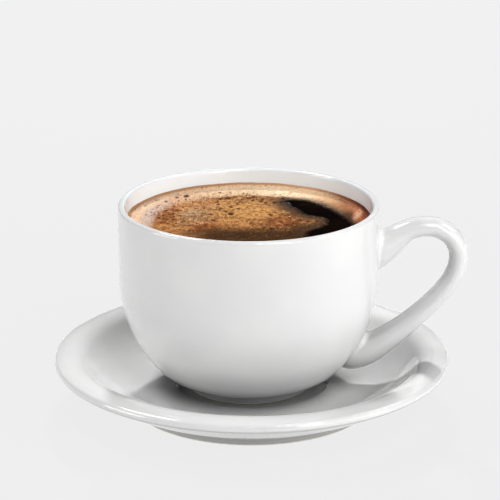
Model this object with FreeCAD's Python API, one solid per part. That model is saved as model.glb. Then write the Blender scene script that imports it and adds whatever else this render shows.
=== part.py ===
import FreeCAD, Part
import math
import os

# A white porcelain coffee cup with a looped handle, filled nearly to the brim
# with espresso under its crema, standing in the well of a rolled-rim saucer.
# Millimetres. +Z is up, +X runs from the cup towards its handle.
# Profiles are written as (radius, height) and turned about a vertical axis.

# --- cup: heights measured from the face it stands on -----------------------
CUP_HEIGHT = 51.3
RIM_R = 35.0             # outer radius at the lip
LIP_ROUND = 0.93         # half the thickness of the rounded lip
SIDE_BOTTOM_Z = 31.1     # the near-upright side ends here, the bowl begins
SIDE_BOTTOM_R = 34.9
BOWL_OUTER_RADIUS = 36.85
BOWL_INNER_RADIUS = 34.0
BOWL_SWEEP = math.radians(39.2)   # how far round the big outer arc runs
FOOT_TOP_R = 17.05
FOOT_TOP_Z = 2.0
FOOT_OUTER_R = 16.7
FOOT_INNER_R = 14.3
FOOT_RECESS_Z = 1.4      # unglazed hollow under the cup
FOOT_ROUND = 0.45
FLOOR_Z = 5.6            # inside bottom of the cup
FLOOR_BLEND = 14.0       # radius between the bowl and the inside bottom
WALL_AT_LEVEL = 2.43     # wall thickness where the drink meets it

# --- drink -------------------------------------------------------------------
DRINK_LEVEL = 46.82      # top of the crema, 4.5 below the lip
CREMA_DEPTH = 2.0
CREMA_PROUD = 0.25       # the foam stands this much above the bare coffee
# The opening in the foam where black coffee shows, as seen from above
# relative to the cup's axis; a hook that starts narrow at the back.
BARE_PATCH = [
    (10.4, 15.9), (15.8, 15.5), (20.5, 9.8), (24.3, 2.0), (26.7, -4.5),
    (26.4, -12.0), (21.6, -18.2), (16.0, -16.6), (16.6, -11.4),
    (20.4, -7.4), (21.9, -1.8), (20.3, 1.6), (16.2, 4.0), (13.3, 9.6),
]

# --- handle: stations (x from the cup's axis, z, half depth, half width) -----
HANDLE = [
    (31.0, 36.5, 5.2, 4.1),
    (34.7, 38.3, 4.9, 3.9),
    (38.2, 40.5, 3.9, 3.5),
    (41.7, 43.1, 3.0, 3.3),
    (45.8, 44.5, 2.7, 3.3),
    (50.6, 44.2, 2.7, 3.3),
    (54.8, 41.2, 2.65, 3.3),
    (56.4, 36.2, 2.6, 3.3),
    (55.1, 31.0, 2.6, 3.3),
    (51.6, 25.8, 2.65, 3.3),
    (47.0, 20.9, 2.75, 3.4),
    (41.9, 16.3, 3.05, 3.6),
    (36.7, 12.4, 3.6, 3.9),
    (32.2, 9.7, 4.2, 4.2),
    (28.2, 8.7, 4.6, 4.4),
    (24.6, 10.4, 4.4, 4.3),
]
HANDLE_SLICES = 30
HANDLE_FILLET = 1.2      # glaze-softened corner where the handle meets the bowl

# --- saucer: heights measured from the table ---------------------------------
WELL_Z = 4.9             # the cup stands on this
WELL_R = 20.7
WELL_STEP = 0.7          # low step from the well up to the saucer's floor
FLOOR_R = 29.0           # the flat floor ends and the side starts to rise
SIDE_RADIUS = 21.0       # hollow curve of the side
CREST_R = 49.42          # highest circle of the rolled rim
CREST_Z = 14.63
EDGE_R = 53.52           # widest circle
EDGE_Z = 12.75
NOSE = 1.3               # small radius at the widest circle
SAUCER_FOOT_R = 33.3
SAUCER_FOOT_WIDTH = 3.0
SAUCER_FOOT_Z = 1.5      # the underside meets the foot ring at this height
SAUCER_RECESS_Z = 1.6
UNDER_MID = (46.0, 7.9)  # a point the curved underside passes through

CUP_OFF_CENTRE = -0.8    # the cup stands this far from the saucer's middle


def v(r, z):
    return FreeCAD.Vector(r, 0, z)


def line(a, b):
    return Part.LineSegment(v(*a), v(*b)).toShape()


def arc(a, m, b):
    return Part.Arc(v(*a), v(*m), v(*b)).toShape()


def on_circle(centre, radius, angle):
    """A point of a circle; the angle is counted from +r towards +z."""
    return (centre[0] + radius * math.cos(angle),
            centre[1] + radius * math.sin(angle))


def arc_about(centre, radius, start, end):
    return arc(on_circle(centre, radius, start),
               on_circle(centre, radius, 0.5 * (start + end)),
               on_circle(centre, radius, end))


def turned(edges):
    """Revolve a closed half profile once about the vertical axis."""
    face = Part.Face(Part.Wire(Part.__sortEdges__(edges)))
    solid = face.revolve(FreeCAD.Vector(), FreeCAD.Vector(0, 0, 1), 360)
    return Part.makeSolid(solid) if solid.ShapeType == "Shell" else solid


def blend_radius(big_centre, big_radius, angle, target):
    """Radius of the arc that leaves the big arc smoothly and hits target."""
    px, pz = on_circle(big_centre, big_radius, angle)
    nx, nz = math.cos(angle), math.sin(angle)
    dx, dz = px - target[0], pz - target[1]
    return (dx * dx + dz * dz) / (2.0 * (dx * nx + dz * nz))


def bowl_outside():
    """Outline of the cup from the lip down to its foot, left open."""
    centre = (SIDE_BOTTOM_R - BOWL_OUTER_RADIUS, SIDE_BOTTOM_Z)
    low = blend_radius(centre, BOWL_OUTER_RADIUS, -BOWL_SWEEP,
                       (FOOT_TOP_R, FOOT_TOP_Z))
    joint = on_circle(centre, BOWL_OUTER_RADIUS, -BOWL_SWEEP)
    low_centre = (joint[0] - low * math.cos(-BOWL_SWEEP),
                  joint[1] - low * math.sin(-BOWL_SWEEP))
    end = math.atan2(FOOT_TOP_Z - low_centre[1], FOOT_TOP_R - low_centre[0])
    return [
        line((RIM_R, CUP_HEIGHT - LIP_ROUND), (SIDE_BOTTOM_R, SIDE_BOTTOM_Z)),
        arc_about(centre, BOWL_OUTER_RADIUS, 0.0, -BOWL_SWEEP),
        arc_about(low_centre, low, -BOWL_SWEEP, end),
    ]


def bowl_inside():
    """Outline of the hollow from the lip down to the axis, left open."""
    centre = (SIDE_BOTTOM_R - BOWL_OUTER_RADIUS, SIDE_BOTTOM_Z)
    reach = BOWL_INNER_RADIUS - FLOOR_BLEND
    turn = math.asin((SIDE_BOTTOM_Z - FLOOR_Z - FLOOR_BLEND) / reach)
    low_centre = on_circle(centre, reach, -turn)
    top = (RIM_R - 2 * LIP_ROUND, CUP_HEIGHT - LIP_ROUND)
    side = (RIM_R - WALL_AT_LEVEL, DRINK_LEVEL)
    bottom = (centre[0] + BOWL_INNER_RADIUS, SIDE_BOTTOM_Z)
    return [
        line(top, side),
        line(side, bottom),
        arc_about(centre, BOWL_INNER_RADIUS, 0.0, -turn),
        arc_about(low_centre, FLOOR_BLEND, -turn, -0.5 * math.pi),
        line((low_centre[0], FLOOR_Z), (0, FLOOR_Z)),
    ]


def cup_body():
    lip_z = CUP_HEIGHT - LIP_ROUND
    lip = arc((RIM_R, lip_z), (RIM_R - LIP_ROUND, CUP_HEIGHT),
              (RIM_R - 2 * LIP_ROUND, lip_z))
    r1, r2, k = FOOT_OUTER_R, FOOT_INNER_R, FOOT_ROUND
    d = k * (1 - math.sqrt(0.5))
    foot = [
        line((FOOT_TOP_R, FOOT_TOP_Z), (r1, k)),
        arc((r1, k), (r1 - d, d), (r1 - k, 0)),
        line((r1 - k, 0), (r2 + k, 0)),
        arc((r2 + k, 0), (r2 + d, d), (r2, k)),
        line((r2, k), (r2, FOOT_RECESS_Z - k)),
        arc((r2, FOOT_RECESS_Z - k), (r2 - d, FOOT_RECESS_Z - d),
            (r2 - k, FOOT_RECESS_Z)),
        line((r2 - k, FOOT_RECESS_Z), (0, FOOT_RECESS_Z)),
        line((0, FOOT_RECESS_Z), (0, FLOOR_Z)),
    ]
    return turned(bowl_outside() + [lip] + bowl_inside() + foot)


def hollow():
    """The space inside the cup up to the top of the lip's inner edge."""
    lip_z = CUP_HEIGHT - LIP_ROUND
    closing = [line((RIM_R - 2 * LIP_ROUND, lip_z), (0, lip_z)),
               line((0, lip_z), (0, FLOOR_Z))]
    return turned(bowl_inside() + closing)


def handle_loop():
    """The handle as rounded sections set square to a smooth centre line."""
    path = Part.BSplineCurve()
    path.interpolate([v(x, z) for x, z, _, _ in HANDLE])
    knots = [path.parameter(v(x, z)) for x, z, _, _ in HANDLE]
    wires = []
    for i in range(HANDLE_SLICES + 1):
        place = i * (len(HANDLE) - 1) / HANDLE_SLICES
        cell = min(int(place), len(HANDLE) - 2)
        part = place - cell
        t = knots[cell] + part * (knots[cell + 1] - knots[cell])
        here, along = path.value(t), path.tangent(t)[0]
        across = FreeCAD.Vector(0, 1, 0)
        normal = along.cross(across).normalize()
        depth = HANDLE[cell][2] * (1 - part) + HANDLE[cell + 1][2] * part
        width = HANDLE[cell][3] * (1 - part) + HANDLE[cell + 1][3] * part
        ring = []
        for j in range(12):
            a = 2 * math.pi * j / 12
            ring.append(here + normal * (depth * math.cos(a))
                        + across * (width * math.sin(a)))
        outline = Part.BSplineCurve()
        outline.interpolate(Points=ring, PeriodicFlag=True)
        wires.append(Part.Wire(outline.toShape()))
    return Part.makeLoft(wires, True, False)


def root_edges(shape):
    """Edges where a freely curved handle face meets a turned face."""
    found = []
    for edge in shape.Edges:
        sides = [type(face.Surface).__name__ for face in shape.Faces
                 if any(edge.isSame(other) for other in face.Edges)]
        if len(sides) == 2 and sides.count("BSplineSurface") == 1:
            found.append(edge)
    return found


def cup():
    whole = cup_body().fuse(handle_loop()).cut(hollow())
    return whole.makeFillet(HANDLE_FILLET, root_edges(whole))


def saucer():
    floor_z = WELL_Z + WELL_STEP
    # side: a hollow arc then a rounded crest, smooth where they meet
    run, rise = CREST_R - FLOOR_R, CREST_Z - floor_z
    slope = 2 * math.atan2(rise, run)
    crest_radius = run / math.sin(slope) - SIDE_RADIUS
    side_centre = (FLOOR_R, floor_z + SIDE_RADIUS)
    crest_centre = (CREST_R, CREST_Z - crest_radius)
    up = 0.5 * math.pi
    # outward of the crest a flatter arc runs into the small nose
    nose_centre = (EDGE_R - NOSE, EDGE_Z)
    gap_r = nose_centre[0] - CREST_R
    drop = CREST_Z - EDGE_Z
    shoulder = (gap_r ** 2 + drop ** 2 - NOSE ** 2) / (2 * (drop - NOSE))
    shoulder_centre = (CREST_R, CREST_Z - shoulder)
    lean = math.atan2(nose_centre[1] - shoulder_centre[1], gap_r)
    # underside: from the nose to the foot ring
    under_start = on_circle(nose_centre, NOSE, math.radians(-58))
    foot_top = (SAUCER_FOOT_R + 0.6, SAUCER_FOOT_Z)
    foot_in = SAUCER_FOOT_R - SAUCER_FOOT_WIDTH
    k = 0.5
    d = k * (1 - math.sqrt(0.5))
    q = 0.35
    edges = [
        line((0, WELL_Z), (WELL_R - q, WELL_Z)),
        line((WELL_R - q, WELL_Z), (WELL_R + q, floor_z)),
        line((WELL_R + q, floor_z), (FLOOR_R, floor_z)),
        arc_about(side_centre, SIDE_RADIUS, -up, -up + slope),
        arc_about(crest_centre, crest_radius, up + slope, up),
        arc_about(shoulder_centre, shoulder, up, lean),
        arc_about(nose_centre, NOSE, lean, math.radians(-58)),
        arc(under_start, UNDER_MID, foot_top),
        line(foot_top, (SAUCER_FOOT_R, k)),
        arc((SAUCER_FOOT_R, k), (SAUCER_FOOT_R - d, d), (SAUCER_FOOT_R - k, 0)),
        line((SAUCER_FOOT_R - k, 0), (foot_in + k, 0)),
        arc((foot_in + k, 0), (foot_in + d, d), (foot_in, k)),
        line((foot_in, k), (foot_in, SAUCER_RECESS_Z)),
        line((foot_in, SAUCER_RECESS_Z), (0, SAUCER_RECESS_Z)),
        line((0, SAUCER_RECESS_Z), (0, WELL_Z)),
    ]
    return turned(edges)


def slab(low, high):
    """A wide slab that keeps only the heights between low and high."""
    return Part.makeBox(90, 90, high - low, FreeCAD.Vector(-45, -45, low))


def bare_patch(low, high):
    outline = Part.BSplineCurve()
    outline.interpolate(Points=[FreeCAD.Vector(x, y, low) for x, y in BARE_PATCH],
                        PeriodicFlag=True)
    face = Part.Face(Part.Wire(outline.toShape()))
    return face.extrude(FreeCAD.Vector(0, 0, high - low))


def drink():
    """The liquid and the foam; together they fill the cup to the level."""
    base = DRINK_LEVEL - CREMA_DEPTH
    inside = hollow()
    layer = inside.common(slab(base, DRINK_LEVEL))
    foam = layer.cut(bare_patch(base - 1, DRINK_LEVEL + 1))
    bare = inside.common(bare_patch(base - 1, DRINK_LEVEL - CREMA_PROUD))
    liquid = inside.common(slab(0, base)).fuse(bare).removeSplitter()
    return liquid, foam


def main():
    liquid, foam = drink()
    pieces = {"cup": cup(), "coffee": liquid, "crema": foam}
    for shape in pieces.values():
        shape.translate(FreeCAD.Vector(CUP_OFF_CENTRE, 0, WELL_Z))
    pieces["saucer"] = saucer()
    # the origin goes under the middle of the whole part, on the table
    box = Part.makeCompound(list(pieces.values())).optimalBoundingBox(False)
    shift = FreeCAD.Vector(-0.5 * (box.XMin + box.XMax), 0, 0)
    os.makedirs("parts", exist_ok=True)
    for name, shape in pieces.items():
        shape.translate(shift)
        solid = shape.Solids[0]
        print(name, len(shape.Solids), solid.isValid(), round(solid.Volume, 1),
              [round(c, 3) for c in (solid.BoundBox.XMin, solid.BoundBox.XMax,
                                     solid.BoundBox.YMin, solid.BoundBox.YMax,
                                     solid.BoundBox.ZMin, solid.BoundBox.ZMax)])
        solid.exportStep("parts/" + name + ".step")


main()
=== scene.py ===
import bpy
import math
import random
import numpy as np
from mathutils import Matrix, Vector, noise
from mathutils.geometry import delaunay_2d_cdt


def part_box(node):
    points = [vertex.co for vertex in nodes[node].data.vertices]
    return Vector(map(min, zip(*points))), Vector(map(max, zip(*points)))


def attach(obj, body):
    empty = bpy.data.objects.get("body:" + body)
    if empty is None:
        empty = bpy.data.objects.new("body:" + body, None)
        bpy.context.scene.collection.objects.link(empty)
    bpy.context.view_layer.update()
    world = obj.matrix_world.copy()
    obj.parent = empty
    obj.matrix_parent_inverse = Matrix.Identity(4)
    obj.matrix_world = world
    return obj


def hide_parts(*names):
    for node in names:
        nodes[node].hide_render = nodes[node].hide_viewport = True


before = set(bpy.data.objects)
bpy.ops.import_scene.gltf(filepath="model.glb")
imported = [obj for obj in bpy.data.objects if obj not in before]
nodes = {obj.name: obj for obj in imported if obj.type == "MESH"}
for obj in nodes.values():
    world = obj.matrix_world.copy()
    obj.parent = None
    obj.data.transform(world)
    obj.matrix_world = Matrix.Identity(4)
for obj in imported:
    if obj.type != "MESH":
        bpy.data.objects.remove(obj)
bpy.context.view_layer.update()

# Everything below is laid out in millimetres from the cup's axis, and from
# the top of the crema for heights, and turned into metres when a mesh is made.
MM = 0.001
crema_low, crema_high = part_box("crema")
coffee_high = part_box("coffee")[1]
cup_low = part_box("cup")[0]
AXIS_X = (crema_low[0] + crema_high[0]) / 2
SURFACE_Z = crema_high[2]
WALL_R = (crema_high[0] - crema_low[0]) / 2 / MM
INTO_WALL = 0.12     # the foam reaches this far into the wall, to leave no gap
LIQUID_DROP = (crema_high[2] - coffee_high[2]) / MM
CREMA_DEPTH = (crema_high[2] - crema_low[2]) / MM
FOAM_STEP = 0.40     # distance between the foam's loose points
WALL_CLIMB = 0.60    # rise of the foam where it meets the wall
EDGE_SINK = 0.3      # the foam's edge goes this far below the bare coffee
SKIN_DEPTH = 0.35    # the skin of bare coffee reaches down this far
SKIN_CREEP = 0.05    # and creeps up this much at the foam's edge
SKIN_SIDE = 0.6      # no triangle in it is wider than this


# ---------------------------------------------------------------- geometry

def make_object(name, points, faces):
    """A mesh from points in millimetres about the cup's axis."""
    mesh = bpy.data.meshes.new(name)
    mesh.from_pydata([(AXIS_X + x * MM, y * MM, SURFACE_Z + z * MM)
                      for x, y, z in points], [], faces)
    mesh.update()
    obj = bpy.data.objects.new(name, mesh)
    bpy.context.scene.collection.objects.link(obj)
    mesh.polygons.foreach_set("use_smooth", [True] * len(mesh.polygons))
    return obj


def closed_curve(corners, spacing):
    """Points a fixed distance apart along a smooth closed curve."""
    dense = []
    count = len(corners)
    for i in range(count):
        p0, p1, p2, p3 = (np.array(corners[(i + k - 1) % count], float)
                          for k in range(4))
        for t in np.linspace(0, 1, 24, endpoint=False):
            dense.append(0.5 * (2 * p1 + (p2 - p0) * t
                                + (2 * p0 - 5 * p1 + 4 * p2 - p3) * t ** 2
                                + (3 * p1 - p0 - 3 * p2 + p3) * t ** 3))
    dense = np.array(dense + [dense[0]])
    lengths = np.linalg.norm(np.diff(dense, axis=0), axis=1)
    walk = np.concatenate([[0], np.cumsum(lengths)])
    steps = np.linspace(0, walk[-1], max(8, int(walk[-1] / spacing)),
                        endpoint=False)
    return np.stack([np.interp(steps, walk, dense[:, k]) for k in (0, 1)], 1)


def signed_distance(points, loop):
    """Distance to a closed loop, negative inside it."""
    a, b = loop, np.roll(loop, -1, axis=0)
    best = np.full(len(points), 1e9)
    inside = np.zeros(len(points), bool)
    for (ax, ay), (bx, by) in zip(a, b):
        dx, dy = bx - ax, by - ay
        t = ((points[:, 0] - ax) * dx + (points[:, 1] - ay) * dy)
        t = np.clip(t / (dx * dx + dy * dy), 0, 1)
        best = np.minimum(best, np.hypot(points[:, 0] - ax - t * dx,
                                         points[:, 1] - ay - t * dy))
        crosses = (ay > points[:, 1]) != (by > points[:, 1])
        where = ax + (points[:, 1] - ay) * dx / (dy if dy else 1e-9)
        inside ^= crosses & (points[:, 0] < where)
    return np.where(inside, -best, best)


def smoothstep(low, high, value):
    t = np.clip((value - low) / (high - low), 0, 1)
    return t * t * (3 - 2 * t)


def rough(points, scale, seed):
    """Smooth noise between -1 and 1 at points, features about scale wide."""
    return np.array([noise.noise(Vector((x / scale, y / scale, seed)))
                     for x, y in points])


def circle(radius, count, turn=0.0):
    a = np.arange(count) * 2 * math.pi / count + turn
    return np.stack([radius * np.cos(a), radius * np.sin(a)], 1)


def hex_grid(radius, step):
    rows = []
    height = step * math.sqrt(3) / 2
    for j in range(int(-radius / height), int(radius / height) + 1):
        offset = 0.5 * step * (j % 2)
        for i in range(int(-radius / step) - 1, int(radius / step) + 2):
            rows.append((i * step + offset, j * height))
    grid = np.array(rows)
    return grid[np.hypot(grid[:, 0], grid[:, 1]) < radius]


# The opening in the foam: the same outline as the model's, from the axis.
BARE_PATCH = [
    (10.4, 15.9), (15.8, 15.5), (20.5, 9.8), (24.3, 2.0), (26.7, -4.5),
    (26.4, -12.0), (21.6, -18.2), (16.0, -16.6), (16.6, -11.4),
    (20.4, -7.4), (21.9, -1.8), (20.3, 1.6), (16.2, 4.0), (13.3, 9.6),
]

# A looks choice: pits are drawn longer from front to back, because round
# ones read as flat dashes at the photo's low angle.
OVAL = 1.6

# Groups of small bubbles: middle, spread, how many are tried, smallest and
# largest radius. Burst bubbles leave dark pits in the foam.
BUBBLE_GROUPS = [
    (-6.0, 11.0, 3.0, 5.0, 34, 0.22, 0.70),
    (2.6, 17.5, 3.4, 1.8, 14, 0.30, 0.70),
    (-22.6, 6.0, 3.0, 7.0, 70, 0.16, 0.42),
    (-13.0, -5.0, 4.5, 4.0, 40, 0.16, 0.45),
    (9.0, -5.0, 6.0, 4.5, 44, 0.18, 0.52),
    (0.0, 3.0, 9.0, 9.0, 70, 0.14, 0.40),
    (-10.0, 24.0, 11.0, 2.2, 22, 0.14, 0.34),
    (-15.0, 5.0, 4.0, 6.0, 70, 0.14, 0.26),
    (0.0, -23.0, 16.0, 4.0, 90, 0.15, 0.42),
]
LONE_BUBBLES = [
    (-5.6, 19.0, 0.80), (-17.2, 21.2, 0.85), (-19.8, 19.8, 0.62),
    (-22.7, 15.9, 0.55), (-9.5, -1.4, 0.72), (-4.8, 4.6, 0.90),
    (0.6, -3.7, 0.62), (6.0, 3.6, 0.66), (6.2, -9.2, 0.78),
    (15.8, -2.4, 0.62), (-21.6, -0.8, 0.50), (-4.9, 10.8, 0.66),
    (-0.2, 19.2, 0.60), (3.4, 16.2, 0.72), (4.6, 15.0, 0.66),
    (-7.6, 9.4, 0.70), (-6.2, 6.8, 0.62), (1.4, 20.4, 0.50),
    (-20.0, -0.6, 0.60), (8.9, 15.4, 0.50), (-3.6, 20.4, 0.45),
]

# How many small bubbles are tried in a ring beside the wall.
WALL_BUBBLES = 170
BUBBLE_SEED = 7


def bubbles(avoid):
    """Bubbles (x, y, radius), none of them near the outline.

    The seeded ones are kept apart from all others, by their radii across.
    """
    rng = random.Random(BUBBLE_SEED)
    placed = list(LONE_BUBBLES)
    candidates = []
    for cx, cy, sx, sy, count, small, large in BUBBLE_GROUPS:
        for _ in range(count):
            radius = small + (large - small) * rng.random() ** 2
            candidates.append((rng.gauss(cx, sx), rng.gauss(cy, sy), radius))
    for _ in range(WALL_BUBBLES):
        angle = rng.uniform(0, 2 * math.pi)
        radius = 0.13 + 0.2 * rng.random() ** 2
        out = WALL_R - 0.85 - rng.random() ** 2 * 1.6
        candidates.append((out * math.cos(angle), out * math.sin(angle),
                           radius))
    for x, y, radius in candidates:
        apart = all(math.hypot(x - bx, y - by) > 1.15 * (radius + br)
                    for bx, by, br in placed)
        if apart and math.hypot(x, y) < WALL_R - 0.5 - radius:
            placed.append((x, y, radius))
    spots = np.array([(x, y) for x, y, _ in placed])
    clear = signed_distance(spots, avoid) > 0.9
    return [b for b, ok in zip(placed, clear) if ok]


def outward(loop):
    """Unit normals of a closed loop, pointing away from what it encloses."""
    along = np.roll(loop, -1, axis=0) - np.roll(loop, 1, axis=0)
    normals = np.stack([along[:, 1], -along[:, 0]], 1)
    normals /= np.linalg.norm(normals, axis=1, keepdims=True)
    if signed_distance(loop[:1] + 0.05 * normals[:1], loop)[0] < 0:
        normals = -normals
    return normals


def shoreline():
    """The ragged edge of the opening in the foam."""
    outline = closed_curve(BARE_PATCH, 0.25)
    ragged = 0.38 * rough(outline, 2.2, 3.0) + 0.16 * rough(outline, 0.7, 4.0)
    return outline + ragged[:, None] * outward(outline)


def sheet(points, keep_face):
    """Triangles over scattered points, less those keep_face turns down."""
    verts, _, faces, _, _, _ = delaunay_2d_cdt([Vector(p) for p in points],
                                               [], [], 0, 1e-5)
    flat = np.array([tuple(v) for v in verts])
    faces = np.array([tuple(f) for f in faces])
    faces = faces[keep_face(flat, faces)]
    used, faces = np.unique(faces, return_inverse=True)
    return flat[used], faces.reshape(-1, 3)


def solid(flat, top_z, faces, bottom_z):
    """A closed body under a sheet, with the same triangles underneath."""
    count = len(flat)
    points = [(x, y, z) for (x, y), z in zip(flat, top_z)]
    points += [(x, y, bottom_z) for x, y in flat]
    sides = {}
    for f in faces:
        for i in range(3):
            sides[(f[i], f[(i + 1) % 3])] = True
    body = [tuple(int(i) for i in f) for f in faces]
    body += [tuple(int(i) + count for i in f[::-1]) for f in faces]
    body += [(int(b), int(a), int(a) + count, int(b) + count)
             for a, b in sides if (b, a) not in sides]
    return points, body


def foam(outline):
    """The crema: opening, burst bubbles, and the climb up the wall."""
    spots = bubbles(outline)
    rim = WALL_R + INTO_WALL
    normals = outward(outline)
    bands = [outline + k * normals
             for k in (-0.8, -0.55, -0.3, -0.1, 0.1, 0.3, 0.55, 0.85)]
    rings = [circle(rim - k, 480, 0.0065 * (i % 2))
             for i, k in enumerate((0.0, 0.12, 0.28, 0.46, 0.68, 0.95, 1.25))]
    grid = hex_grid(rim - 1.4, FOAM_STEP)
    keep = np.abs(signed_distance(grid, outline)) > 1.0
    pits = []
    for x, y, r in spots:
        keep &= np.hypot(grid[:, 0] - x, (grid[:, 1] - y) / OVAL) > 1.4 * r
        rounds = ((0.5, 6), (0.85, 9), (1.15, 9)) if r < 0.35 else (
            (0.45, 6), (0.8, 10), (1.0, 12), (1.2, 12))
        pits.append(np.array([(x, y)]))
        pits += [np.array([(x, y)]) + circle(k * r, n, k) * (1, OVAL)
                 for k, n in rounds]
    loose = np.concatenate([grid[keep]] + bands + pits)
    loose = loose[np.hypot(loose[:, 0], loose[:, 1]) < rim - 0.04]
    flat, faces = sheet(np.concatenate(rings + [loose]), lambda p, f: (
        signed_distance(p, outline)[f].max(axis=1) > -0.7))
    r = np.hypot(flat[:, 0], flat[:, 1])
    edge = signed_distance(flat, outline)
    z = (0.07 * rough(flat, 6.0, 1.0) + 0.05 * rough(flat, 1.7, 2.0)
         + 0.035 * rough(flat, 0.7, 5.0) - 0.10)
    z += WALL_CLIMB * np.exp(-(rim - r) / 0.5)
    dip = 1 - smoothstep(-0.6, 0.5, edge)
    z = z * (1 - dip) - (LIQUID_DROP + EDGE_SINK) * dip
    pit = np.zeros(len(flat))
    for x, y, radius in spots:
        d = np.hypot(flat[:, 0] - x, (flat[:, 1] - y) / OVAL) / radius
        z -= 0.55 * radius * np.clip(1 - d * d, 0, 1)
        z += 0.10 * radius * np.exp(-((d - 1.1) / 0.16) ** 2)
        strength = min(1.0, 0.35 + 0.75 * (radius - 0.15))
        pit = np.maximum(pit, strength * (1 - smoothstep(0.7, 1.1, d)))
    points, body = solid(flat, z, faces, -CREMA_DEPTH)
    obj = make_object("crema_foam", points, body)
    for name, mask in (("pit", pit), ("shore", np.clip(edge, 0, 9))):
        values = np.zeros(len(points))
        values[:len(mask)] = mask
        layer = obj.data.attributes.new(name, "FLOAT", "POINT")
        layer.data.foreach_set("value", values)
    return obj


def bare_coffee(outline):
    """The coffee in the opening, which creeps up to the foam's edge."""
    border = 0.8
    grid = hex_grid(WALL_R - 1.0, FOAM_STEP)

    def short_sided(p, f):
        sides = np.diff(p[f][:, [0, 1, 2, 0]], axis=1)
        return np.abs(sides).max(axis=(1, 2)) < SKIN_SIDE

    flat, faces = sheet(grid[signed_distance(grid, outline) < border],
                        short_sided)
    inward = np.clip(0.2 - signed_distance(flat, outline), 0, 9)
    z = -LIQUID_DROP + 0.012 + SKIN_CREEP * np.exp(-inward / 0.5)
    return make_object("coffee_surface",
                       *solid(flat, z, faces, -LIQUID_DROP - SKIN_DEPTH))


shore = shoreline()
crema = foam(shore)
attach(crema, "root")
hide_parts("crema")
liquid = bare_coffee(shore)
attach(liquid, "root")


# --------------------------------------------------------------- materials

def srgb(r, g, b):
    """A colour as read off a screen, turned into the shader's scale."""
    return tuple(c / 255 / 12.92 if c < 11
                 else ((c / 255 + 0.055) / 1.055) ** 2.4 for c in (r, g, b))


class Shader:
    """A material and short calls for building its nodes."""

    def __init__(self, name):
        self.material = bpy.data.materials.new(name)
        self.material.use_nodes = True
        self.tree = self.material.node_tree
        self.bsdf = self.tree.nodes["Principled BSDF"]
        coords = self.node("ShaderNodeTexCoord").outputs["Object"]
        # millimetres from the cup's axis and from the top of the crema
        self.place = self.vector("MULTIPLY_ADD", coords, (1 / MM,) * 3,
                                 (-AXIS_X / MM, 0, -SURFACE_Z / MM))

    def node(self, kind):
        return self.tree.nodes.new(kind)

    def feed(self, socket, value):
        if hasattr(value, "is_output"):
            self.tree.links.new(value, socket)
        elif socket.type == "RGBA":
            socket.default_value = (*value, 1)
        else:
            socket.default_value = value

    def set(self, **values):
        for key, value in values.items():
            self.feed(self.bsdf.inputs[key.replace("_", " ")], value)

    def math(self, operation, *values):
        node = self.node("ShaderNodeMath")
        node.operation = operation
        for socket, value in zip(node.inputs, values):
            self.feed(socket, value)
        return node.outputs[0]

    def times(self, a, b):
        return self.math("MULTIPLY", a, b)

    def vector(self, operation, *values):
        node = self.node("ShaderNodeVectorMath")
        node.operation = operation
        for socket, value in zip(node.inputs, values):
            self.feed(socket, value)
        return node.outputs["Value" if operation == "LENGTH" else "Vector"]

    def ramp(self, value, low, high, out_low=0.0, out_high=1.0):
        node = self.node("ShaderNodeMapRange")
        node.interpolation_type = "SMOOTHSTEP"
        keys = ("Value", "From Min", "From Max", "To Min", "To Max")
        for key, v in zip(keys, (value, low, high, out_low, out_high)):
            self.feed(node.inputs[key], v)
        return node.outputs[0]

    def mix(self, factor, a, b):
        node = self.node("ShaderNodeMix")
        node.data_type = "RGBA"
        node.clamp_factor = True
        for i, value in zip((0, 6, 7), (factor, a, b)):
            self.feed(node.inputs[i], value)
        return node.outputs[2]

    def noise(self, vector, scale, detail=2.0, roughness=0.5, output=0):
        node = self.node("ShaderNodeTexNoise")
        self.feed(node.inputs["Vector"], vector)
        node.inputs["Scale"].default_value = scale
        node.inputs["Detail"].default_value = detail
        node.inputs["Roughness"].default_value = roughness
        return node.outputs[output]

    def cells(self, vector, scale):
        node = self.node("ShaderNodeTexVoronoi")
        self.feed(node.inputs["Vector"], vector)
        node.inputs["Scale"].default_value = scale
        return node.outputs["Distance"]

    def zone(self, vector, x, y, half_w, half_d, turn=0, inner=0.3,
             outer=1.15):
        """1 inside an ellipse, falling to 0 outside it."""
        node = self.node("ShaderNodeMapping")
        node.vector_type = "TEXTURE"
        self.feed(node.inputs["Vector"], vector)
        node.inputs["Location"].default_value = (x, y, 0)
        node.inputs["Rotation"].default_value = (0, 0, math.radians(turn))
        node.inputs["Scale"].default_value = (half_w, half_d, 1000)
        return self.ramp(self.vector("LENGTH", node.outputs[0]),
                         inner, outer, 1.0, 0.0)

    def gradient(self, value, stops):
        """A colour along a line: stops are (position, colour)."""
        low, high = stops[0][0], stops[-1][0]
        node = self.node("ShaderNodeValToRGB")
        offset = self.math("SUBTRACT", value, low)
        self.feed(node.inputs[0], self.math("DIVIDE", offset, high - low))
        elements = node.color_ramp.elements
        while len(elements) < len(stops):
            elements.new(0.5)
        for element, (position, colour) in zip(elements, stops):
            element.position = (position - low) / (high - low)
            element.color = (*srgb(*colour), 1)
        return node.outputs[0]

    def bump(self, height, distance, strength=1.0):
        node = self.node("ShaderNodeBump")
        node.inputs["Strength"].default_value = strength
        node.inputs["Distance"].default_value = distance
        self.feed(node.inputs["Height"], height)
        return node.outputs[0]


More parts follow.
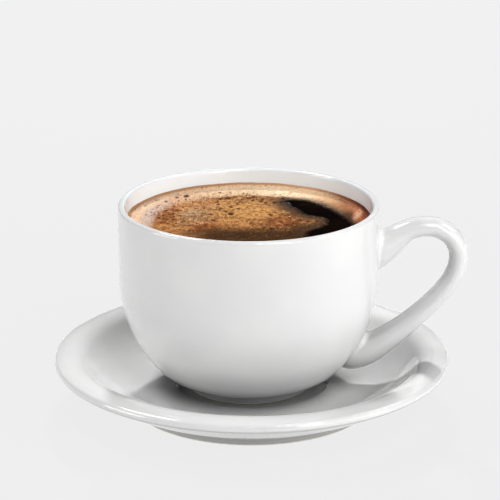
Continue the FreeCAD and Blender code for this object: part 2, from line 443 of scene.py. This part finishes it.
# Patches of colour in the foam, each an ellipse:
# middle x and y, half width, half depth, degrees, strength, colour.
FOAM_ZONES = [
    (-1.0, 8.0, 12.0, 12.0, 0, 0.85, (214, 168, 108)),
    (-1.0, 19.5, 17.0, 3.2, 0, 0.80, (146, 102, 56)),
    (-14.5, 3.0, 7.0, 10.5, 0, 0.85, (186, 152, 118)),
    (-15.5, 5.0, 4.0, 5.0, 0, 0.45, (202, 174, 140)),
    (-23.0, 2.0, 4.8, 12.0, -12, 0.90, (164, 106, 62)),
    (-20.0, 11.5, 3.4, 4.0, 0, 0.85, (206, 142, 84)),
    (-12.0, -7.0, 5.0, 5.5, 0, 0.80, (164, 92, 56)),
    (9.5, -3.0, 7.5, 7.0, 0, 0.75, (150, 92, 56)),
    (15.0, -8.0, 5.5, 7.0, 0, 0.80, (92, 62, 40)),
    (12.5, 8.0, 4.0, 7.0, 30, 0.75, (134, 102, 68)),
]

# The pale foam along the wall, from left to right.
PALE_BAND = [
    (-33.0, (202, 178, 164)), (-27.0, (212, 190, 178)),
    (-20.0, (212, 174, 144)),
    (-11.0, (226, 194, 160)), (0.0, (230, 203, 170)), (9.0, (250, 229, 198)),
    (17.0, (246, 217, 182)), (22.0, (222, 182, 140)), (26.0, (176, 124, 84)),
    (29.5, (190, 124, 88)), (31.0, (140, 74, 46)), (33.0, (104, 46, 24)),
]


def foam_material():
    sh = Shader("crema_foam")
    place = sh.place
    # wander the coordinates a little, so that no zone has a drawn outline
    wander = sh.noise(place, 0.20, 4, 0.55, output=1)
    place_w = sh.vector("ADD", place, sh.vector("MULTIPLY_ADD", wander,
                                                (7, 7, 0), (-3.5, -3.5, 0)))
    less_w = sh.vector("ADD", place, sh.vector("MULTIPLY_ADD", wander,
                                               (2.6, 2.6, 0), (-1.3, -1.3, 0)))
    split = sh.node("ShaderNodeSeparateXYZ")
    sh.feed(split.inputs[0], less_w)
    x, y = split.outputs[0], split.outputs[1]
    colour = srgb(196, 144, 94)
    for zx, zy, w, d, turn, strength, rgb in FOAM_ZONES:
        mask = sh.times(sh.zone(place_w, zx, zy, w, d, turn), strength)
        colour = sh.mix(mask, colour, srgb(*rgb))
    # swirls: long soft streaks that follow the wall
    drawn_out = sh.vector("MULTIPLY", place_w, (0.5, 1.0, 1.0))
    swirl = sh.noise(drawn_out, 0.42, 5, 0.6)
    colour = sh.mix(sh.ramp(swirl, 0.47, 0.64, 0.0, 0.6), colour,
                    srgb(124, 78, 42))
    colour = sh.mix(sh.ramp(swirl, 0.50, 0.34, 0.0, 0.35), colour,
                    srgb(232, 180, 120))
    # thinner foam round the opening lets the coffee show through
    shore_at = sh.node("ShaderNodeAttribute")
    shore_at.attribute_name = "shore"
    near = sh.ramp(shore_at.outputs["Fac"], 0.3, 8.0, 0.90, 0.0)
    colour = sh.mix(near, colour, srgb(74, 54, 36))
    # darker towards the front
    front = sh.ramp(y, -4.0, -13.0, 0.0, 0.93)
    front = sh.times(front, sh.ramp(x, -22.0, -8.0))
    colour = sh.mix(front, colour, srgb(68, 48, 28))
    # pale band inside the wall
    inside = sh.zone(less_w, 0.3, -4.0, 26.6, 26.6, 0, inner=0.93, outer=1.03)
    back = sh.ramp(y, -14.0, -2.0, 0.35, 1.0)
    pale = sh.times(sh.math("SUBTRACT", 1.0, inside), back)
    colour = sh.mix(pale, colour, sh.gradient(x, PALE_BAND))
    beside = sh.ramp(shore_at.outputs["Fac"], 0.4, 5.5, 0.92, 0.0)
    colour = sh.mix(beside, colour, srgb(92, 72, 54))
    # at the right the band darkens beside the opening, then a pale streak
    dark_side = sh.zone(less_w, 26.4, 1.0, 2.2, 8.0, -8, inner=0.4, outer=1.1)
    colour = sh.mix(sh.times(dark_side, 0.85), colour, srgb(82, 56, 38))
    streak = sh.zone(less_w, 29.4, 4.5, 1.3, 6.5, -10, inner=0.3, outer=1.1)
    colour = sh.mix(sh.times(streak, 0.7), colour, srgb(238, 192, 162))
    flat = sh.vector("MULTIPLY", place, (1, 1, 0))
    radius = sh.vector("LENGTH", flat)
    pinkish = sh.ramp(radius, WALL_R - 4.6, WALL_R - 3.0, 0.0, 0.65)
    colour = sh.mix(sh.times(pinkish, sh.ramp(x, 27.0, 20.0)), colour,
                    srgb(238, 204, 168))
    # fine texture: flecks, specks and pits
    stretched = sh.vector("MULTIPLY", place, (1.0, 0.42, 1.0))
    fleck = sh.noise(stretched, 1.0, 5, 0.7)
    depth = sh.ramp(radius, WALL_R - 9.0, WALL_R - 4.0, 1.0, 0.40)
    crowd = sh.ramp(sh.noise(place, 0.16, 3, 0.6), 0.38, 0.60, 0.35, 1.0)
    dark = sh.times(sh.ramp(fleck, 0.48, 0.64, 0.0, 0.75), depth)
    colour = sh.mix(sh.times(dark, crowd), colour, srgb(104, 62, 32))
    light = sh.times(sh.ramp(fleck, 0.47, 0.36, 0.0, 0.65), depth)
    light = sh.times(light, sh.ramp(y, -12.0, -3.0, 0.15, 1.0))
    light = sh.times(light, sh.ramp(shore_at.outputs["Fac"], 1.0, 8.0))
    colour = sh.mix(light, colour, srgb(240, 192, 132))
    grain = sh.noise(place, 3.6, 3, 0.6)
    colour = sh.mix(sh.times(sh.ramp(grain, 0.53, 0.65, 0.0, 0.55),
                            depth), colour, srgb(86, 50, 24))
    foam_cells = sh.cells(stretched, 1.25)
    dots = sh.ramp(foam_cells, 0.34, 0.14, 0.0, 0.75)
    clusters = sh.ramp(sh.noise(place, 0.33, 2, 0.5), 0.43, 0.60)
    colour = sh.mix(sh.times(dots, sh.times(depth, clusters)),
                    colour, srgb(66, 36, 16))
    # stained line where the foam meets the wall
    line = sh.ramp(radius, WALL_R - 1.1, WALL_R - 0.5, 0.0, 0.9)
    colour = sh.mix(line, colour, sh.gradient(x, [
        (-33.0, (190, 144, 104)), (18.0, (196, 152, 114)),
        (26.0, (140, 80, 46)),
        (33.0, (104, 48, 26))]))
    # in its last two millimetres the foam thins to a film over black coffee
    film = sh.ramp(shore_at.outputs["Fac"], 0.4, 1.9, 0.97, 0.0)
    colour = sh.mix(film, colour, srgb(28, 17, 11))
    pit_at = sh.node("ShaderNodeAttribute")
    pit_at.attribute_name = "pit"
    colour = sh.mix(pit_at.outputs["Fac"], colour, srgb(66, 34, 15))
    relief = sh.math("ADD", fleck, sh.times(grain, 0.4))
    sh.set(Base_Color=colour, IOR=1.36,
           Roughness=sh.ramp(fleck, 0.35, 0.65, 0.24, 0.44),
           Normal=sh.bump(relief, 0.0002, 0.5))
    return sh.material


def coffee_material():
    sh = Shader("black_coffee")
    cloud = sh.noise(sh.place, 0.12, 3, 0.6)
    sh.set(Base_Color=sh.mix(sh.ramp(cloud, 0.35, 0.7), srgb(10, 5, 3),
                             srgb(30, 15, 8)), IOR=1.33,
           Roughness=sh.ramp(cloud, 0.3, 0.7, 0.02, 0.06),
           Normal=sh.bump(sh.noise(sh.place, 0.08, 2, 0.5), 0.0001, 0.3))
    return sh.material


def glaze_material(name, foot_z, under_z, reach, open_at, tint):
    """White glaze over porcelain, bare at the foot it was fired on.

    reach (mm), open_at and tint set how far, from what openness and how
    strongly the closed-in corners get painted shade.
    """
    sh = Shader(name)
    split = sh.node("ShaderNodeSeparateXYZ")
    sh.feed(split.inputs[0], sh.place)
    pool = sh.noise(sh.place, 0.05, 3, 0.5)
    white = sh.mix(sh.ramp(pool, 0.35, 0.65), (0.765, 0.765, 0.765),
                   (0.79, 0.79, 0.785))
    # a looks choice, not a second glaze: cooler above the drink, to offset the
    # warm light the foam throws on the wall, as the photo's wall is neutral
    across = sh.vector("LENGTH", sh.vector("MULTIPLY", sh.place, (1, 1, 0)))
    bore = sh.times(sh.ramp(across, WALL_R + 1.6, WALL_R + 0.8),
                   sh.ramp(split.outputs[2], -3.0, -1.0))
    white = sh.mix(bore, white, (0.84, 0.88, 0.915))
    specks = sh.noise(sh.place, 1.1, 2, 0.6)
    white = sh.mix(sh.ramp(specks, 0.72, 0.80, 0.0, 0.10), white,
                   srgb(176, 166, 150))
    facing = sh.node("ShaderNodeSeparateXYZ")
    geometry = sh.node("ShaderNodeNewGeometry")
    sh.feed(facing.inputs[0], geometry.outputs["Normal"])
    # painted shade: the glaze is greyer on the low faces that point down
    underside_painted_shade = sh.times(sh.ramp(facing.outputs[2], -0.15, -0.75),
                    sh.ramp(split.outputs[2], under_z + 2.0, under_z - 2.0))
    # a looks choice: greyer where it faces down, to come nearer to the photo
    white = sh.mix(underside_painted_shade, white, (0.52, 0.52, 0.515))
    # a looks choice, not dirt: corners are tinted darker by how closed in they
    # are, to reach the contrast of the photo's contact shadows
    corner = sh.node("ShaderNodeAmbientOcclusion")
    corner.samples = 8
    corner.inputs["Distance"].default_value = reach * MM
    painted_corner_shade = sh.times(sh.ramp(corner.outputs["AO"], open_at, 0.10, 0.0, tint),
                    sh.ramp(split.outputs[2], -4.0, -10.0))
    white = sh.mix(painted_corner_shade, white, (0.16, 0.16, 0.16))
    wave = sh.noise(sh.place, 0.045, 2, 0.45)
    orange_peel = sh.noise(sh.place, 0.6, 2, 0.5)
    height = sh.math("ADD", wave, sh.times(orange_peel, 0.02))
    bare = sh.ramp(split.outputs[2], foot_z + 0.55, foot_z + 0.25)
    body = sh.noise(sh.place, 3.0, 3, 0.6)
    biscuit = sh.mix(sh.ramp(body, 0.4, 0.6), srgb(226, 220, 210),
                     srgb(206, 198, 186))
    gloss = sh.ramp(pool, 0.3, 0.7, 0.035, 0.075)
    sh.set(Base_Color=sh.mix(bare, white, biscuit), IOR=1.5,
           Roughness=sh.math("ADD", gloss, sh.times(bare, 0.55)),
           Normal=sh.bump(height, 0.0009, 0.35))
    return sh.material


def dress(obj, mat):
    obj.data.materials.clear()
    obj.data.materials.append(mat)


dress(nodes["cup"], glaze_material("cup_glaze", (cup_low[2] - SURFACE_Z) / MM,
                                   (cup_low[2] - SURFACE_Z) / MM + 3,
                                   reach=14, open_at=0.95, tint=0.50))
dress(nodes["saucer"], glaze_material("saucer_glaze", -SURFACE_Z / MM,
                                      -SURFACE_Z / MM + 13,
                                      reach=9, open_at=0.62, tint=0.60))
black = coffee_material()
dress(nodes["coffee"], black)
dress(liquid, black)
dress(crema, foam_material())

# ------------------------------------------------------------------- stage

# The floor gives its own light, close to the photo's even background,
# and is dimmer under the saucer: millimetres from the saucer's middle.
# painted shadow: the floor glows less under the saucer
SHADOW_GLOW_UNDER, GLOW_OPEN = 0.25, 0.845
GLOW_STARTS, GLOW_FULL = 28.0, 56.0
WORLD_LIGHT = 0.02
DISPLAY_GAMMA = 0.8          # a looks choice, for the photo's contrast

bpy.ops.mesh.primitive_plane_add(size=8, location=(0, 2, 0))
floor = bpy.context.object
floor.name = "floor"
paper = Shader("floor")
saucer_low, saucer_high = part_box("saucer")
from_foot = paper.vector("LENGTH", paper.vector(
    "ADD", paper.vector("MULTIPLY", paper.place, (1, 1, 0)),
    ((AXIS_X - (saucer_low[0] + saucer_high[0]) / 2) / MM, 0, 0)))
grain = paper.noise(paper.place, 0.5, 3, 0.6)
paper.set(Base_Color=paper.mix(grain, (0.028,) * 3, (0.034,) * 3),
          Roughness=0.9, Specular_IOR_Level=0.0, Emission_Color=(1, 1, 1),
          Emission_Strength=paper.ramp(from_foot, GLOW_STARTS, GLOW_FULL,
                                       SHADOW_GLOW_UNDER, GLOW_OPEN))
floor.data.materials.append(paper.material)

world = bpy.data.worlds.new("studio")
bpy.context.scene.world = world
world.use_nodes = True
sky = world.node_tree.nodes["Background"]
sky.inputs[0].default_value = (1, 1, 1, 1)
sky.inputs[1].default_value = WORLD_LIGHT

bpy.context.scene.view_settings.view_transform = "Standard"
bpy.context.scene.view_settings.gamma = DISPLAY_GAMMA


LIGHT_DISTANCE = 0.9
LIGHT_TARGET = Vector((AXIS_X, 0, 0.03))
# name, degrees round from the camera's side, degrees up, width in m, watts
LIGHTS = [
    ("key_high", 24, 45, 0.42, 2.8), ("key_low", 37, 15, 0.42, 2.5),
    ("right_high", 90, 45, 0.42, 1.8), ("right_low", 65, 15, 0.42, 1.7),
    ("left_low", -75, 12, 0.42, 3.0), ("left_high", -120, 60, 0.30, 3.0),
    ("back", 180, 35, 0.07, 6.2),
]


def area(name, azimuth, elevation, width, watts):
    light = bpy.data.lights.new(name, "AREA")
    light.shape = "RECTANGLE"
    light.size = light.size_y = width
    light.energy = watts
    obj = bpy.data.objects.new(name, light)
    bpy.context.scene.collection.objects.link(obj)
    a, e = math.radians(azimuth), math.radians(elevation)
    direction = Vector((math.sin(a) * math.cos(e),
                        -math.cos(a) * math.cos(e), math.sin(e)))
    obj.location = LIGHT_TARGET + direction * LIGHT_DISTANCE
    obj.rotation_euler = (-direction).to_track_quat("-Z", "Y").to_euler()
    return obj


lamps = {light[0]: area(*light) for light in LIGHTS}
# hidden from reflections, so that it leaves no glints on the drink
lamps["back"].visible_glossy = False

# The camera looks at a point beside the cup's axis, from the front and above.
CAMERA_X = AXIS_X + 0.00032
CAMERA_AT = Vector((CAMERA_X, -0.57433, 0.22967))
LOOK_AT = Vector((CAMERA_X, 0, 0.04284))
LENS, SENSOR = 161.98, 36.0

camera = bpy.data.cameras.new("camera")
camera.lens = LENS
camera.sensor_width = SENSOR
camera.clip_start = 0.01
cam = bpy.data.objects.new("camera", camera)
bpy.context.scene.collection.objects.link(cam)
cam.location = CAMERA_AT
cam.rotation_euler = (LOOK_AT - CAMERA_AT).to_track_quat("-Z", "Y").to_euler()
bpy.context.scene.camera = cam
